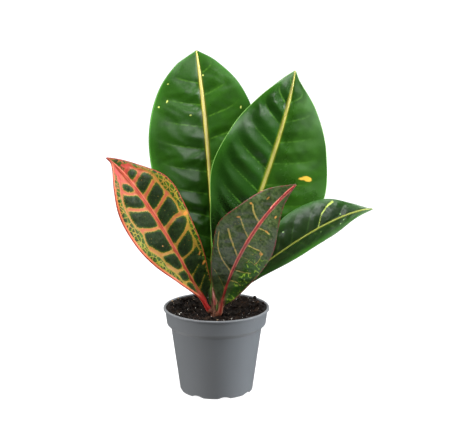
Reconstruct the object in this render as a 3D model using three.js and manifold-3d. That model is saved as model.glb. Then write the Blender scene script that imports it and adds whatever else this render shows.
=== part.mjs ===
// A young croton in a 9 cm nursery pot: five broad leaves and a rolled young leaf on a short stem, a plug of
// soil, and a thin plastic pot with drain channels under its base.
// Millimetres, +Z up, the origin at the centre of the pot's flat base, the front of the plant towards -Y.

import * as THREE from 'three';
import { mergeVertices } from 'three/addons/utils/BufferGeometryUtils.js';
import Module from 'manifold-3d';

// Driving dimensions
const CLEARANCE = 0.3; // between pieces that touch

const POT = {
  height: 73,
  rimRadius: 45,
  rimWidth: 2,
  lipHeight: 1.8,
  collarTopRadius: 43.6,
  collarBottomRadius: 42,
  collarHeight: 14, // from the rim down to the shoulder
  shoulderHeight: 3.5,
  bodyTopRadius: 38.5,
  baseRadius: 30.7,
  wall: 1.2,
  floor: 3.2,
  sides: 48,
};

// Channels under the base, each with a drain hole, that show as shallow scallops between the feet
const DRAIN = {
  count: 8,
  firstAngle: 13, // degrees from the front, towards the right
  width: 11.5,
  depth: 2,
  innerRadius: 15,
  holeRadius: 2.5,
  holeCircle: 21,
};

// The soil lies lowest round the stem and is heaped against the wall, less so at the front
const SOIL = {
  level: 63.5,
  heap: 8.8,
  frontHeap: 4,
  heapStart: 0.3, // as a share of the radius
  lump: 0.8,
  rings: 8,
};

const STEM = {
  x: -1.5,
  y: 1,
  bottom: 21,
  top: 91,
  bottomRadius: 3.4,
  topRadius: 2.4,
  sides: 12,
};

// The rolled young leaf leans on the front of the stem
const YOUNG_LEAF = {
  base: [-1.2, -2.9, 75.5],
  tip: [-3.4, -4.4, 90],
  radius: 1.1,
  sides: 8,
};

const BLADE = {
  halfThickness: 0.4,
  petioleRadius: 2.1,
  neckRadius: 1.5, // where the petiole meets the blade
  tipRadius: 0.4,
  neckStart: 0.03, // along the rib, from where the petiole starts to flatten
  neckEnd: 0.14,
  rows: 28,
  columns: 5, // on each side of the rib
  fullWaveWidth: 15, // a half-blade at least this wide waves by its full height
  leftWaveShift: 0.37, // the left margin's wave against the right one's, in wavelengths
};

// Half-widths of a leaf are given at these places along its rib
const STATIONS = [0, 0.1, 0.25, 0.4, 0.55, 0.7, 0.85, 0.95, 1];

// Each leaf: rib = the four points of its curve from petiole base to tip.
// face = where its upper side looks, at the base and at the tip.
// left, right = half-widths at the stations.
// fold = how far each half stands up from flat at the rib, in degrees, at the base and at the tip.
// bow = how much the half's slope has changed by the margin, in degrees, at the base and at the tip.
// wave = height, number and phase of the margins' waves.
const LEAVES = {
  leaf_rear_left: {
    rib: [[-4, 5.9, 76], [-2, 14, 146], [-7, 26, 220], [-17, 46, 285]],
    face: [[0, -1, 0.1], [0.05, -1, 0.3]],
    left: [2, 8, 24, 42, 49, 48, 37, 19, 0.6],
    right: [2, 4, 19, 35, 43, 43, 32, 15, 0.6],
    foldLeft: [18, 8],
    foldRight: [18, 8],
    bow: [-16, -10],
    wave: [1.5, 4, 0.1],
    colour: [0.12, 0.27, 0.06],
  },
  leaf_rear_right: {
    rib: [[1.8, 4.8, 78.5], [18, 7, 117], [58, 10, 219], [66, 25, 271]],
    face: [[0.25, -1, 0.1], [0.2, -1, 0.2]],
    left: [2, 3, 24, 39, 49, 43, 26, 10, 0.6],
    right: [2, 3, 21, 40, 53, 43, 24.5, 6, 0.6],
    foldLeft: [22, 12],
    foldRight: [22, 12],
    bow: [-20, -14],
    wave: [1.5, 4, 0.3],
    colour: [0.09, 0.22, 0.06],
  },
  leaf_front_left: {
    rib: [[-6.4, -0.6, 70], [-29, -12, 113], [-57, -32, 181], [-89, -40, 210]],
    face: [[0.5, -1, 0.3], [0.5, -1, 0.3]],
    left: [2, 3, 14, 25, 31, 28, 16, 2, 0.6],
    right: [2, 12, 19.5, 24, 28, 27, 14, 5, 0.6],
    foldLeft: [22, 12],
    foldRight: [22, 12],
    bow: [-16, -12],
    wave: [1.2, 3, 0.2],
    colour: [0.45, 0.2, 0.1],
  },
  leaf_front_right: {
    rib: [[3, -1.9, 67.8], [8, -16, 108], [33, -38, 160], [65, -50, 190]],
    face: [[0.1, -1, 0.4], [0.1, -1, 0.4]],
    left: [2, 6, 15, 23, 29, 22, 14, 5, 0.6],
    right: [2, 8, 17, 22, 23, 16, 6, 2, 0.6],
    foldLeft: [18, 10],
    foldRight: [18, 10],
    bow: [-22, -16],
    wave: [1.2, 3, 0],
    colour: [0.18, 0.24, 0.16],
  },
  leaf_right: {
    rib: [[3.2, 1.1, 76.5], [38, -5, 113], [98, -22, 162], [129, -26, 164]],
    face: [[-0.3, -1, 0.5], [-0.3, -1, 0.9]],
    left: [2, 5, 13, 19, 25, 22, 9, 2, 0.6],
    right: [2, 5, 12, 18, 22, 19, 10, 4, 0.6],
    foldLeft: [16, 10],
    foldRight: [44, 30],
    bow: [-10, -8],
    wave: [1, 3, 0.5],
    colour: [0.1, 0.24, 0.08],
  },
};

const wasm = await Module();
wasm.setup();

// A smooth curve through values given at the stations: a cubic between each pair, sloped like its neighbours
function valueAlong(values, t) {
  const last = STATIONS.length - 1;
  const slope = (i) => {
    const before = Math.max(i - 1, 0);
    const after = Math.min(i + 1, last);
    return (values[after] - values[before]) / (STATIONS[after] - STATIONS[before]);
  };
  let i = 0;
  while (i < last - 1 && STATIONS[i + 1] <= t) i += 1;
  const span = STATIONS[i + 1] - STATIONS[i];
  const s = (t - STATIONS[i]) / span;
  return (
    values[i] * (1 + 2 * s) * (1 - s) ** 2 +
    slope(i) * span * s * (1 - s) ** 2 +
    values[i + 1] * s * s * (3 - 2 * s) +
    slope(i + 1) * span * s * s * (s - 1)
  );
}

function between(pair, t) {
  return THREE.MathUtils.lerp(pair[0], pair[1], t);
}

// A closed body through rings of points that all run the same way round, with a fan over each end.
// Past mirrorFrom round the ring the quads split along their other diagonal.
function loft(rings, mirrorFrom = Infinity) {
  const around = rings[0].length;
  const points = rings.flat();
  const triangles = [];
  for (let i = 0; i < rings.length - 1; i += 1) {
    for (let k = 0; k < around; k += 1) {
      const a = i * around + k;
      const b = i * around + ((k + 1) % around);
      const c = b + around;
      const d = a + around;
      if (k < mirrorFrom) triangles.push(a, b, c, a, c, d);
      else triangles.push(a, b, d, b, c, d);
    }
  }
  for (const [ring, outwards] of [[0, false], [rings.length - 1, true]]) {
    const middle = new THREE.Vector3();
    rings[ring].forEach((point) => middle.addScaledVector(point, 1 / around));
    const centre = points.push(middle) - 1;
    for (let k = 0; k < around; k += 1) {
      const a = ring * around + k;
      const b = ring * around + ((k + 1) % around);
      if (outwards) triangles.push(centre, a, b);
      else triangles.push(centre, b, a);
    }
  }
  return new THREE.BufferGeometry().setFromPoints(points).setIndex(triangles);
}

// A tapered round body along a straight line: radii are [place along the line, radius] pairs
function taperedRod(from, to, radii, sides) {
  const upright = new THREE.Vector3(0, 0, 1);
  const axis = new THREE.Vector3().subVectors(to, from);
  const turn = new THREE.Quaternion().setFromUnitVectors(upright, axis.clone().normalize());
  const rings = radii.map(([place, radius]) =>
    Array.from({ length: sides }, (_, k) => {
      const angle = (2 * Math.PI * k) / sides;
      const spoke = new THREE.Vector3(radius * Math.cos(angle), radius * Math.sin(angle), 0);
      return spoke.applyQuaternion(turn).addScaledVector(axis, place).add(from);
    }),
  );
  return loft(rings);
}

// An outline of [radius, height, corner] points, where a corner above 0 is rounded off over that distance
function roundedOutline(corners) {
  const cornerSteps = 2;
  const outline = new THREE.Path();
  corners.forEach(([radius, height, corner = 0], i) => {
    if (i === 0) {
      outline.moveTo(radius, height);
    } else if (corner === 0) {
      outline.lineTo(radius, height);
    } else {
      const here = new THREE.Vector2(radius, height);
      const [before, after] = [corners[i - 1], corners[i + 1]].map((other) =>
        new THREE.Vector2(other[0], other[1]).sub(here).setLength(corner).add(here),
      );
      outline.lineTo(before.x, before.y);
      outline.quadraticCurveTo(radius, height, after.x, after.y);
    }
  });
  return outline.getPoints(cornerSteps);
}

function turned(outline, sides) {
  return new THREE.LatheGeometry(outline, sides).rotateX(Math.PI / 2);
}

// The closed solid of a geometry, with its shared points merged and its flat triangles on the axis dropped
function solidOf(geometry) {
  const plain = geometry.clone();
  plain.deleteAttribute('normal');
  plain.deleteAttribute('uv');
  const merged = mergeVertices(plain, 1e-4);
  const index = merged.index.array;
  const triangles = [];
  for (let i = 0; i < index.length; i += 3) {
    const [a, b, c] = [index[i], index[i + 1], index[i + 2]];
    if (a !== b && b !== c && c !== a) triangles.push(a, b, c);
  }
  const mesh = new wasm.Mesh({
    numProp: 3,
    vertProperties: merged.attributes.position.array,
    triVerts: new Uint32Array(triangles),
  });
  return new wasm.Manifold(mesh);
}

function geometryOf(solid) {
  const mesh = solid.getMesh();
  const geometry = new THREE.BufferGeometry();
  geometry.setAttribute('position', new THREE.BufferAttribute(mesh.vertProperties, 3));
  geometry.setIndex(new THREE.BufferAttribute(mesh.triVerts, 1));
  geometry.computeVertexNormals();
  return geometry;
}

function cut(geometry, cutters) {
  return geometryOf(cutters.reduce((solid, cutter) => solid.subtract(solidOf(cutter)), solidOf(geometry)));
}

// The inside of the pot from its floor up to the rim, drawn in by a gap
function innerWall(gap) {
  const shoulderTop = POT.height - POT.collarHeight;
  const shoulderBottom = shoulderTop - POT.shoulderHeight;
  const taper = (POT.bodyTopRadius - POT.baseRadius) / shoulderBottom;
  const floorRadius = POT.baseRadius + taper * POT.floor;
  const inwards = POT.wall + gap;
  return [
    [floorRadius - inwards, POT.floor + gap],
    [POT.bodyTopRadius - inwards, shoulderBottom + inwards],
    [POT.collarBottomRadius - inwards, shoulderTop + inwards],
    [POT.rimRadius - POT.rimWidth - gap, POT.height],
  ];
}

function potGeometry() {
  const shoulderTop = POT.height - POT.collarHeight;
  const lipBottom = POT.height - POT.lipHeight;
  const outline = roundedOutline([
    [0, 0],
    [POT.baseRadius, 0, 1.6],
    [POT.bodyTopRadius, shoulderTop - POT.shoulderHeight, 0.8],
    [POT.collarBottomRadius, shoulderTop, 1.2],
    [POT.collarTopRadius, lipBottom],
    [POT.rimRadius, lipBottom, 0.5],
    [POT.rimRadius, POT.height, 0.9],
    ...innerWall(0).reverse(),
    [0, POT.floor],
  ]);
  // A channel is the slice of a lying cylinder that is as wide and as deep as the channel
  const channelRadius = DRAIN.width ** 2 / (8 * DRAIN.depth) + DRAIN.depth / 2;
  const channelLength = POT.rimRadius - DRAIN.innerRadius;
  const cutters = [];
  for (let i = 0; i < DRAIN.count; i += 1) {
    const angle = Math.PI + THREE.MathUtils.degToRad(DRAIN.firstAngle + (i * 360) / DRAIN.count);
    const channel = new THREE.CylinderGeometry(channelRadius, channelRadius, channelLength, 36)
      .translate(0, DRAIN.innerRadius + channelLength / 2, DRAIN.depth - channelRadius)
      .rotateZ(angle);
    const hole = new THREE.CylinderGeometry(DRAIN.holeRadius, DRAIN.holeRadius, 3 * POT.floor, 12)
      .rotateX(Math.PI / 2)
      .translate(0, DRAIN.holeCircle, POT.floor / 2)
      .rotateZ(angle);
    cutters.push(channel, hole);
  }
  return cut(turned(outline, POT.sides), cutters);
}

// The height of the soil's lumps above or below its level
function lumpAt(x, y) {
  const waves = Math.sin(0.31 * x + 1) * Math.cos(0.27 * y) + 0.7 * Math.sin(0.55 * y - 0.4 * x + 2);
  return SOIL.lump * waves + 0.5 * Math.cos(0.9 * x + 0.6 * y);
}

function soilGeometry() {
  const wall = innerWall(CLEARANCE);
  const [collarBottom, rim] = wall.slice(-2);
  const wallRadius = (height) => {
    const rise = (height - collarBottom[1]) / (rim[1] - collarBottom[1]);
    return between([collarBottom[0], rim[0]], rise);
  };
  const edgeRadius = wallRadius(SOIL.level);
  const outline = [[0, wall[0][1]], ...wall.slice(0, -1)];
  for (let ring = 0; ring <= SOIL.rings; ring += 1) {
    outline.push([edgeRadius * (1 - ring / SOIL.rings), SOIL.level]);
  }
  const plug = turned(outline.map(([radius, height]) => new THREE.Vector2(radius, height)), POT.sides);
  const position = plug.attributes.position;
  for (let i = 0; i < position.count; i += 1) {
    const [x, y, z] = [position.getX(i), position.getY(i), position.getZ(i)];
    if (z > SOIL.level - 0.01) {
      const share = Math.hypot(x, y) / edgeRadius;
      const behind = THREE.MathUtils.smoothstep(y / edgeRadius, -1, 0);
      const heap = between([SOIL.frontHeap, SOIL.heap], behind);
      const height = SOIL.level + heap * THREE.MathUtils.smoothstep(share, SOIL.heapStart, 1);
      const widening = wallRadius(height) / edgeRadius;
      position.setXYZ(i, x * widening, y * widening, height + (1 - share ** 8) * lumpAt(x, y));
    }
  }
  const holeRadius = STEM.bottomRadius + CLEARANCE;
  const holeBottom = STEM.bottom - CLEARANCE;
  const stemHole = taperedRod(
    new THREE.Vector3(STEM.x, STEM.y, holeBottom),
    new THREE.Vector3(STEM.x, STEM.y, POT.height),
    [[0, holeRadius], [1, holeRadius]],
    STEM.sides,
  );
  return cut(plug, [stemHole]);
}

function stemGeometry() {
  return taperedRod(
    new THREE.Vector3(STEM.x, STEM.y, STEM.bottom),
    new THREE.Vector3(STEM.x, STEM.y, STEM.top),
    [
      [0, STEM.bottomRadius * 0.8],
      [0.03, STEM.bottomRadius],
      [0.6, STEM.bottomRadius],
      [0.9, STEM.topRadius],
      [0.97, STEM.topRadius * 0.8],
      [1, STEM.topRadius * 0.3],
    ],
    STEM.sides,
  );
}

function youngLeafGeometry() {
  return taperedRod(
    new THREE.Vector3(...YOUNG_LEAF.base),
    new THREE.Vector3(...YOUNG_LEAF.tip),
    [[0, 0.7], [0.15, 0.95], [0.45, 1], [0.75, 0.6], [1, 0.12]].map(([place, share]) => [
      place,
      share * YOUNG_LEAF.radius,
    ]),
    YOUNG_LEAF.sides,
  );
}

// The radius of the petiole, and past it of the midrib, along a leaf
function ribRadius(t) {
  if (t < BLADE.neckEnd) return between([BLADE.petioleRadius, BLADE.neckRadius], t / BLADE.neckEnd);
  return between([BLADE.neckRadius, BLADE.tipRadius], (t - BLADE.neckEnd) / (1 - BLADE.neckEnd));
}

// One cross-section of a leaf: a round petiole that flattens into a folded blade with a keel under its rib
function leafSection(leaf, ribCurve, t) {
  const { columns, halfThickness } = BLADE;
  const centre = ribCurve.getPoint(t);
  const along = ribCurve.getTangent(t);
  const facing = new THREE.Vector3(...leaf.face[0]).lerp(new THREE.Vector3(...leaf.face[1]), t);
  const across = new THREE.Vector3().crossVectors(along, facing).normalize();
  const upwards = new THREE.Vector3().crossVectors(across, along);
  const radius = ribRadius(t);
  const flatness = THREE.MathUtils.smoothstep(t, BLADE.neckStart, BLADE.neckEnd);
  const [waveHeight, waveCount, wavePhase] = leaf.wave;
  const upper = [];
  const lower = [];
  for (let column = -columns; column <= columns; column += 1) {
    const side = Math.sign(column);
    const onLeft = side < 0;
    const width = Math.max(valueAlong(onLeft ? leaf.left : leaf.right, t), radius);
    const fold = flatness * THREE.MathUtils.degToRad(between(onLeft ? leaf.foldLeft : leaf.foldRight, t));
    const bow = THREE.MathUtils.degToRad(between(leaf.bow, t));
    // Where the column stands between rib and margin, on the round petiole and on the flat blade
    const turn = (Math.abs(column) / columns) * (Math.PI / 2);
    const keelEdge = radius / width;
    const onBlade = column === 0 ? 0 : between([keelEdge, 1], (Math.abs(column) - 1) / (columns - 1));
    const place = between([keelEdge * Math.sin(turn), onBlade], flatness);
    const roundDepth = Math.max(radius * Math.cos(turn), 0.75 * halfThickness);
    const keelDepth = column === 0 ? halfThickness + radius : halfThickness;
    // The half-blade's own curve: its slope turns from the fold by the bow on the way to the margin
    const slope = fold + bow * place;
    const outwards = (width * (Math.sin(slope) - Math.sin(fold))) / bow;
    const rise = (width * (Math.cos(fold) - Math.cos(slope))) / bow;
    const shift = onLeft ? BLADE.leftWaveShift : 0;
    const wave = waveHeight * Math.sin(2 * Math.PI * (waveCount * t + wavePhase + shift));
    const waveShare = flatness * place ** 3 * Math.min(1, width / BLADE.fullWaveWidth);
    const point = centre
      .clone()
      .addScaledVector(across, side * outwards)
      .addScaledVector(upwards, rise + wave * waveShare);
    const normal = new THREE.Vector3()
      .addScaledVector(upwards, Math.cos(slope))
      .addScaledVector(across, -side * Math.sin(slope));
    upper.push(point.clone().addScaledVector(normal, between([roundDepth, halfThickness], flatness)));
    lower.push(point.clone().addScaledVector(normal, -between([roundDepth, keelDepth], flatness)));
  }
  return [...upper, ...lower.reverse()];
}

function leafGeometry(leaf) {
  const ribCurve = new THREE.CubicBezierCurve3(...leaf.rib.map((point) => new THREE.Vector3(...point)));
  const rings = Array.from({ length: BLADE.rows + 1 }, (_, i) => {
    // Rows stand closer together at the petiole and at the tip
    const t = (1 - Math.cos((Math.PI * i) / BLADE.rows)) / 2;
    return leafSection(leaf, ribCurve, t);
  });
  return loft(rings, 2 * BLADE.columns + 1);
}

function piece(name, geometry, colour, roughness) {
  const color = new THREE.Color(...colour);
  const material = new THREE.MeshStandardMaterial({ color, roughness, metalness: 0 });
  const mesh = new THREE.Mesh(geometry, material);
  mesh.name = name;
  return mesh;
}

const plant = new THREE.Group();
plant.add(piece('pot', potGeometry(), [0.17, 0.18, 0.19], 0.6));
plant.add(piece('soil', soilGeometry(), [0.03, 0.024, 0.02], 0.95));
plant.add(piece('stem', stemGeometry(), [0.2, 0.1, 0.07], 0.7));
plant.add(piece('young_leaf', youngLeafGeometry(), [0.6, 0.35, 0.3], 0.5));
for (const [name, leaf] of Object.entries(LEAVES)) {
  plant.add(piece(name, leafGeometry(leaf), leaf.colour, 0.4));
}

export default plant;
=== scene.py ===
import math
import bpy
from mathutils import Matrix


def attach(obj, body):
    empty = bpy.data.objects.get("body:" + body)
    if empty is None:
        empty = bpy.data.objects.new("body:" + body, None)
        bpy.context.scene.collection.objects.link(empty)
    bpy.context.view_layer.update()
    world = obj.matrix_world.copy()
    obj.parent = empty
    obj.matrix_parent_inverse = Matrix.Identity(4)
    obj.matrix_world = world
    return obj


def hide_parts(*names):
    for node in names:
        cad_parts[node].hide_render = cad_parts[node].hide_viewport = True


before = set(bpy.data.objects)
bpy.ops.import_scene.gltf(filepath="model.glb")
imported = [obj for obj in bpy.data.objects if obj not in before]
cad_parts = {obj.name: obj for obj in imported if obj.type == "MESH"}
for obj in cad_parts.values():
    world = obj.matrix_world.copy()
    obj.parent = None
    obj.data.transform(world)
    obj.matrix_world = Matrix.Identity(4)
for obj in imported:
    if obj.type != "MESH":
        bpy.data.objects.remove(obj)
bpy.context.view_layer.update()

# A young croton in a nursery pot: fine leaves with their veins, stem, damp soil and plastic pot round the
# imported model, under soft studio light. The tables below are in millimetres, as in the model's source.

from types import SimpleNamespace

import bmesh
import bpy
import numpy as np
from mathutils import Euler, Vector, noise

MM = 0.001
BODY = "root"
random = np.random.default_rng(11)

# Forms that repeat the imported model

POT = dict(
    height=73, rim=45, rim_width=2, lip=1.8, collar_top=43.6, collar_bottom=42, collar=14, shoulder=3.5,
    body_top=38.5, base=30.7, wall=1.2, floor=3.2,
)
DRAIN = dict(count=8, first_angle=13, width=11.5, depth=2, inner=15, hole=2.5, hole_circle=21)
SOIL = dict(level=63.5, heap=8.8, front_heap=4, heap_start=0.3)
STEM = dict(x=-1.5, y=1, bottom=21, top=91, bottom_radius=3.4, top_radius=2.4)
YOUNG_LEAF = dict(base=(-1.2, -2.9, 75.5), tip=(-3.4, -4.4, 90), radius=1.1)
BLADE = dict(
    half_thickness=0.4, petiole_radius=2.1, neck_radius=1.5, tip_radius=0.4, neck_start=0.03, neck_end=0.14,
    full_wave_width=15, left_wave_shift=0.37,
)

# Half-widths of a leaf are given at these shares of its rib's length
STATIONS = np.array([0, 0.1, 0.25, 0.4, 0.55, 0.7, 0.85, 0.95, 1])


def even_veins(first, last, step, rise, curl, reach):
    """Side veins without a colour at even steps along the rib."""
    places = np.array([0, 0.3, 0.6, 0.8, 0.93, 1]) * reach
    return [
        ([(start + rise * place + curl * place**8, place) for place in places], 0, 0)
        for start in np.arange(first, last, step)
    ]


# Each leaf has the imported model's form, and then its finer shape and pattern:
# rows and columns = faces along the rib and over each half of the blade.
# quilt = how far the left and right half swell between their side veins, less near the margin by quilt_fade.
# quilt_reach = the distance from a side vein over which the swelling rises, pucker = the height of smaller
# uneven swellings.
# fillet = how roundly coloured veins run into each other.
# rib_width = half-widths of the coloured midrib at the stations.
# veins and loops = (points, half-width at the start, half-width at the end), where no width is no colour, and
# a point is (share of the rib, share of the half-width). A loop joins the ends of the veins along the margin.
# blotches = (share of the rib, share of the half-width, half length, half width, turn in degrees).
LEAVES = {
    "leaf_rear_left": dict(
        rib=[(-4, 5.9, 76), (-2, 14, 146), (-7, 26, 220), (-17, 46, 285)],
        face=[(0, -1, 0.1), (0.05, -1, 0.3)],
        left=[2, 8, 24, 42, 49, 48, 37, 19, 0.6],
        right=[2, 4, 19, 35, 43, 43, 32, 15, 0.6],
        fold_left=(18, 8), fold_right=(18, 8), bow=(-16, -10), wave=(1.5, 4, 0.1),
        rows=230, columns=60, quilt=(1.6, 1.1), quilt_fade=0.5, quilt_reach=6, pucker=0.3, fillet=0.5,
        rib_width=[1.2, 1.1, 0.9, 1.0, 1.4, 1.5, 1.3, 0.9, 0.5],
        veins_left=even_veins(0.16, 0.95, 0.088, 0.045, 0.09, 0.88),
        veins_right=even_veins(0.11, 0.95, 0.088, 0.055, 0.08, 0.88),
        blotches=[
            (0.876, -0.83, 0.9, 0.6, 0), (0.741, -0.26, 1.1, 0.8, 0), (0.787, -0.88, 1, 0.9, 0),
            (0.806, -0.73, 1.6, 0.7, 60), (0.896, 0.11, 0.8, 0.8, 0), (0.753, 0.78, 1.3, 0.7, 80),
        ],
    ),
    "leaf_rear_right": dict(
        rib=[(1.8, 4.8, 78.5), (18, 7, 117), (58, 10, 219), (66, 25, 271)],
        face=[(0.25, -1, 0.1), (0.2, -1, 0.2)],
        left=[2, 3, 24, 39, 49, 43, 26, 10, 0.6],
        right=[2, 3, 21, 40, 53, 43, 24.5, 6, 0.6],
        fold_left=(22, 12), fold_right=(22, 12), bow=(-20, -14), wave=(1.5, 4, 0.3),
        rows=230, columns=60, quilt=(1.9, 1.3), quilt_fade=0, quilt_reach=6, pucker=0.16, fillet=0.5,
        rib_width=[1.1, 1.1, 1.15, 1.4, 1.5, 1.4, 1.1, 0.7, 0.5],
        veins_left=even_veins(0.155, 0.95, 0.0855, 0.1, 0.08, 0.9),
        veins_right=even_veins(0.13, 0.92, 0.08, 0.07, 0.06, 0.88),
        blotches=[(0.6, 0.65, 4.4, 2.2, 0), (0.593, 0.55, 2.8, 0.9, 8)],
    ),
    "leaf_front_left": dict(
        rib=[(-6.4, -0.6, 70), (-29, -12, 113), (-57, -32, 181), (-89, -40, 210)],
        face=[(0.5, -1, 0.3), (0.5, -1, 0.3)],
        left=[2, 3, 14, 25, 31, 28, 16, 2, 0.6],
        right=[2, 12, 19.5, 24, 28, 27, 14, 5, 0.6],
        fold_left=(22, 12), fold_right=(22, 12), bow=(-16, -12), wave=(1.2, 3, 0.2),
        rows=230, columns=60, quilt=(0.8, 0.8), quilt_fade=0, quilt_reach=4, pucker=0.25, fillet=1.3,
        rib_width=[1.8, 1.6, 1.3, 1.7, 1.9, 1.9, 1.7, 1.1, 0.5],
        veins_left=[
            ([(0.86, 0), (0.9, 0.4)], 1.2, 1.2),
            ([(0.8, 0), (0.856, 0.42)], 1.6, 1.6),
            ([(0.73, 0), (0.755, 0.3), (0.802, 0.55)], 1.5, 1.6),
            ([(0.63, 0), (0.66, 0.3), (0.706, 0.59)], 1.5, 1.6),
            ([(0.52, 0), (0.54, 0.3), (0.58, 0.56)], 1.4, 1.6),
            ([(0.378, 0), (0.4, 0.35), (0.417, 0.57), (0.479, 0.7)], 1.3, 1.3),
            ([(0.28, 0), (0.285, 0.34), (0.3, 0.55), (0.354, 0.65)], 1.2, 1),
            ([(0.2, 0), (0.22, 0.6)], 0.6, 0.5),
        ],
        loop_left=(
            [
                (0.92, 0.1), (0.89, 0.3), (0.856, 0.42), (0.81, 0.58), (0.765, 0.7), (0.71, 0.7),
                (0.66, 0.71), (0.61, 0.68), (0.574, 0.58), (0.54, 0.66), (0.5, 0.74), (0.46, 0.68),
                (0.41, 0.6), (0.35, 0.66), (0.3, 0.6), (0.25, 0.66), (0.18, 0.8),
            ],
            1.0, 0.6,
        ),
        veins_right=[
            ([(0.85, 0), (0.872, 0.7)], 1.5, 1.4),
            ([(0.785, 0), (0.792, 0.34), (0.807, 0.71)], 1.8, 1.6),
            ([(0.685, 0), (0.708, 0.34), (0.723, 0.6)], 1.9, 1.8),
            ([(0.59, 0), (0.614, 0.36), (0.635, 0.66)], 1.8, 1.6),
            ([(0.49, 0), (0.51, 0.33), (0.52, 0.58), (0.5, 0.96)], 1.6, 1.9),
            ([(0.39, 0), (0.415, 0.36), (0.431, 0.64), (0.445, 0.77)], 1.3, 1.1),
            ([(0.32, 0), (0.328, 0.59), (0.364, 0.79)], 0.9, 0.8),
            ([(0.21, 0), (0.25, 0.6)], 0.3, 0.2),
            ([(0.14, 0.2), (0.186, 0.73)], 0.25, 0.2),
        ],
        loop_right=(
            [
                (0.9, 0.45), (0.86, 0.68), (0.818, 0.7), (0.782, 0.8), (0.75, 0.8), (0.706, 0.7),
                (0.674, 0.68), (0.64, 0.67), (0.604, 0.74), (0.568, 0.77), (0.53, 0.74), (0.5, 0.88),
                (0.47, 0.88), (0.443, 0.79), (0.4, 0.8), (0.364, 0.79), (0.3, 0.86),
            ],
            1.0, 0.5,
        ),
        blotches=[
            (0.245, 0.85, 2.2, 1.2, 20), (0.3, 0.8, 2, 0.6, 50), (0.5, 0.88, 2.2, 1.6, 0),
            (0.447, -0.34, 0.7, 0.7, 0),
        ],
    ),
    "leaf_front_right": dict(
        rib=[(3, -1.9, 67.8), (8, -16, 108), (33, -38, 160), (65, -50, 190)],
        face=[(0.1, -1, 0.4), (0.1, -1, 0.4)],
        left=[2, 6, 15, 23, 29, 22, 14, 5, 0.6],
        right=[2, 8, 17, 22, 23, 16, 6, 2, 0.6],
        fold_left=(18, 10), fold_right=(18, 10), bow=(-22, -16), wave=(1.2, 3, 0),
        rows=280, columns=66, quilt=(0.9, 0.9), quilt_fade=0, quilt_reach=4, pucker=0.45, fillet=0.5,
        rib_width=[0.8, 1.0, 1.2, 1.5, 1.6, 1.5, 1.4, 1.2, 0.6],
        veins_left=[
            ([(0.8, 0), (0.86, 0.7)], 0, 0),
            ([(0.67, 0), (0.7, 0.4), (0.735, 0.7)], 0.8, 0.6),
            ([(0.55, 0), (0.6, 0.35), (0.633, 0.58)], 0.45, 0.5),
            ([(0.41, 0), (0.475, 0.33), (0.545, 0.67)], 0.5, 0.75),
            ([(0.305, 0), (0.4, 0.81), (0.509, 0.88)], 0.55, 0.3),
            ([(0.17, 0), (0.24, 0.45), (0.305, 0.88)], 0.2, 0.1),
        ],
        veins_right=[
            ([(0.8, 0), (0.83, 0.6)], 0, 0),
            ([(0.72, 0), (0.75, 0.5)], 0, 0),
            ([(0.64, 0), (0.652, 0.35), (0.652, 0.6)], 0.4, 0.5),
            ([(0.51, 0), (0.53, 0.54), (0.515, 0.66)], 0.45, 0.55),
            ([(0.515, 0.66), (0.47, 0.7), (0.44, 0.66)], 0.3, 0.1),
            ([(0.43, 0), (0.44, 0.4), (0.43, 0.66)], 0.15, 0.25),
            ([(0.33, 0), (0.345, 0.5), (0.362, 0.7)], 0.25, 0.35),
            ([(0.25, 0), (0.265, 0.4), (0.25, 0.65)], 0.2, 0.3),
            ([(0.15, 0), (0.17, 0.6)], 0, 0),
        ],
        blotches=[
            (0.636, -0.68, 1.7, 0.9, 30), (0.735, -0.78, 1.2, 0.9, 0), (0.654, 0.46, 1.9, 0.8, 0),
            (0.515, 0.63, 1.7, 1.5, 0), (0.765, 0.6, 0.7, 1.8, 0), (0.444, 0.66, 0.6, 0.6, 0),
            (0.82, -0.5, 0.6, 1.6, 0), (0.485, 0.4, 0.5, 0.5, 0), (0.419, 0.36, 0.4, 0.5, 0),
        ],
    ),
    "leaf_right": dict(
        rib=[(3.2, 1.1, 76.5), (38, -5, 113), (98, -22, 162), (129, -26, 164)],
        face=[(-0.3, -1, 0.5), (-0.3, -1, 0.9)],
        left=[2, 5, 13, 19, 25, 22, 9, 2, 0.6],
        right=[2, 5, 12, 18, 22, 19, 10, 4, 0.6],
        fold_left=(16, 10), fold_right=(44, 30), bow=(-10, -8), wave=(1, 3, 0.5),
        rows=200, columns=48, quilt=(0.5, 0.4), quilt_fade=0.3, quilt_reach=4.5, pucker=0.3, fillet=0.5,
        rib_width=[1.4, 1.1, 0.8, 0.8, 0.85, 0.85, 0.8, 0.7, 0.4],
        veins_left=[
            ([(0.86, 0), (0.91, 0.7)], 0, 0),
            ([(0.75, 0), (0.82, 0.8)], 0, 0),
            ([(0.625, 0), (0.67, 0.4), (0.7, 0.58), (0.75, 0.84)], 0.2, 0.9),
            ([(0.555, 0), (0.633, 0.67), (0.66, 0.8)], 0, 0),
            ([(0.465, 0), (0.532, 0.67), (0.58, 0.88)], 0, 0),
            ([(0.38, 0), (0.45, 0.7)], 0, 0),
            ([(0.29, 0), (0.35, 0.75)], 0, 0),
            ([(0.2, 0), (0.25, 0.75)], 0, 0),
        ],
        veins_right=even_veins(0.14, 0.95, 0.09, 0.08, 0.05, 0.85),
        blotches=[
            (0.464, -0.6, 1.2, 0.6, 70), (0.769, -0.19, 0.6, 0.6, 0), (0.786, 0.39, 0.7, 0.6, 0),
            (0.765, 0.59, 1, 0.5, 0), (0.64, 0.32, 0.6, 0.5, 0),
        ],
    ),
}


# Curves and steps

SOFTENING_ROUNDS = 2


def step_up(low, high, value):
    share = np.clip((value - low) / (high - low), 0, 1)
    return share * share * (3 - 2 * share)


def blend(first, second, share):
    return first + (second - first) * share


def unit(vectors):
    return vectors / np.linalg.norm(vectors, axis=-1, keepdims=True)


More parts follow.
